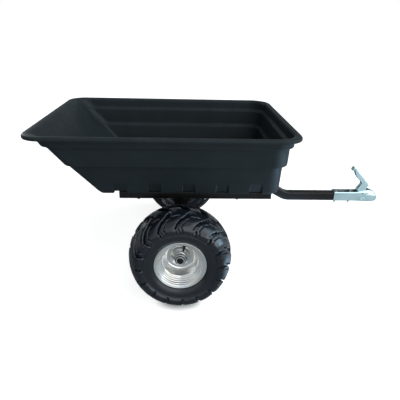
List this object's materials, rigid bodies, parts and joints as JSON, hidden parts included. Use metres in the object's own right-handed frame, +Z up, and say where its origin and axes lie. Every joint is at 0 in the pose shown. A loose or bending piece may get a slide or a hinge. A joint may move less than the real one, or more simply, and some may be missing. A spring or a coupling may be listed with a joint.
{
  "type": "all-terrain vehicle trailer",
  "caption": "Two-wheeled all-terrain vehicle trailer with a tipping moulded tub, a bent square drawbar, a ball coupler and lugged low-pressure tyres.",
  "frame": {"origin": "on the ground under the middle of the trailer's overall length and width", "axes": "+X forward along the drawbar to the coupler, +Y to the left, +Z up"},
  "size_m": [1.745, 1.191, 0.755],
  "materials": {
    "tub_plastic": "moulded, satin",
    "frame_black": "black powder coat",
    "coupler_zinc": "zinc plated, slightly blue",
    "fastener_zinc": "zinc plated",
    "rim_galvanised": "galvanised",
    "bearing_steel": "ground steel",
    "tyre_rubber": "moulded rubber",
    "valve_rubber": "moulded rubber"
  },
  "bodies": {
    "chassis": {"drawbar": "frame_black", "left_axle_plate": "frame_black", "right_axle_plate": "frame_black", "front_axle_web": "frame_black", "rear_axle_web": "frame_black", "axle_beam": "frame_black", "left_stub_axle": "frame_black", "right_stub_axle": "frame_black", "left_thrust_washer": "bearing_steel", "right_thrust_washer": "bearing_steel", "left_retaining_ring": "frame_black", "right_retaining_ring": "frame_black", "pivot_bolt": "fastener_zinc", "pivot_nut": "fastener_zinc", "coupler_body": "coupler_zinc", "lever_pin": "coupler_zinc", "jaw_pin": "coupler_zinc", "rear_coupler_bolt": "fastener_zinc", "front_coupler_bolt": "fastener_zinc", "rear_coupler_nut": "fastener_zinc", "front_coupler_nut": "fastener_zinc", "latch_bolt": "fastener_zinc"},
    "left_wheel": {"left_tyre": "tyre_rubber", "left_rim": "rim_galvanised", "left_inner_bearing": "bearing_steel", "left_outer_bearing": "bearing_steel", "left_valve": "valve_rubber"},
    "right_wheel": {"right_tyre": "tyre_rubber", "right_rim": "rim_galvanised", "right_inner_bearing": "bearing_steel", "right_outer_bearing": "bearing_steel", "right_valve": "valve_rubber"},
    "tipping_body": {"tub": "tub_plastic", "left_rail": "frame_black", "right_rail": "frame_black", "rear_crossmember": "frame_black", "pivot_crossmember": "frame_black", "middle_crossmember": "frame_black", "front_crossmember": "frame_black", "pivot_bush": "frame_black", "latch_striker": "frame_black", "tub_bolt_left_1": "fastener_zinc", "tub_nut_left_1": "fastener_zinc", "tub_bolt_left_3": "fastener_zinc", "tub_nut_left_3": "fastener_zinc", "tub_bolt_left_4": "fastener_zinc", "tub_nut_left_4": "fastener_zinc", "tub_bolt_right_1": "fastener_zinc", "tub_nut_right_1": "fastener_zinc", "tub_bolt_right_3": "fastener_zinc", "tub_nut_right_3": "fastener_zinc", "tub_bolt_right_4": "fastener_zinc", "tub_nut_right_4": "fastener_zinc"},
    "coupler_lever": {"coupler_lever": "coupler_zinc"},
    "locking_jaw": {"locking_jaw": "coupler_zinc"},
    "tub_latch": {"tub_latch": "frame_black"}
  },
  "joints": [
    {"name": "left_wheel_spin", "type": "hinge", "parent": "chassis", "child": "left_wheel", "pos_m": [-0.2125, 0.475, 0.2285], "axis": [0, 1, 0], "continuous": true},
    {"name": "right_wheel_spin", "type": "hinge", "parent": "chassis", "child": "right_wheel", "pos_m": [-0.2125, -0.475, 0.2285], "axis": [0, 1, 0], "continuous": true},
    {"name": "tub_tip", "type": "hinge", "parent": "chassis", "child": "tipping_body", "pos_m": [-0.3325, 0, 0.4244], "axis": [0, -1, 0], "range_deg": [0, 60]},
    {"name": "lever_swing", "type": "hinge", "parent": "chassis", "child": "coupler_lever", "pos_m": [0.7875, 0, 0.345], "axis": [0, -1, 0], "range_deg": [0, 45]},
    {"name": "jaw_swing", "type": "hinge", "parent": "chassis", "child": "locking_jaw", "pos_m": [0.7775, 0, 0.309], "axis": [0, -1, 0], "range_deg": [0, 9]},
    {"name": "latch_swing", "type": "hinge", "parent": "chassis", "child": "tub_latch", "pos_m": [0.2395, 0, 0.398], "axis": [0, -1, 0], "range_deg": [0, 24]}
  ],
  "couplings": [
    {"joint": "jaw_swing", "follows": "lever_swing", "ratio": 0.2}
  ]
}
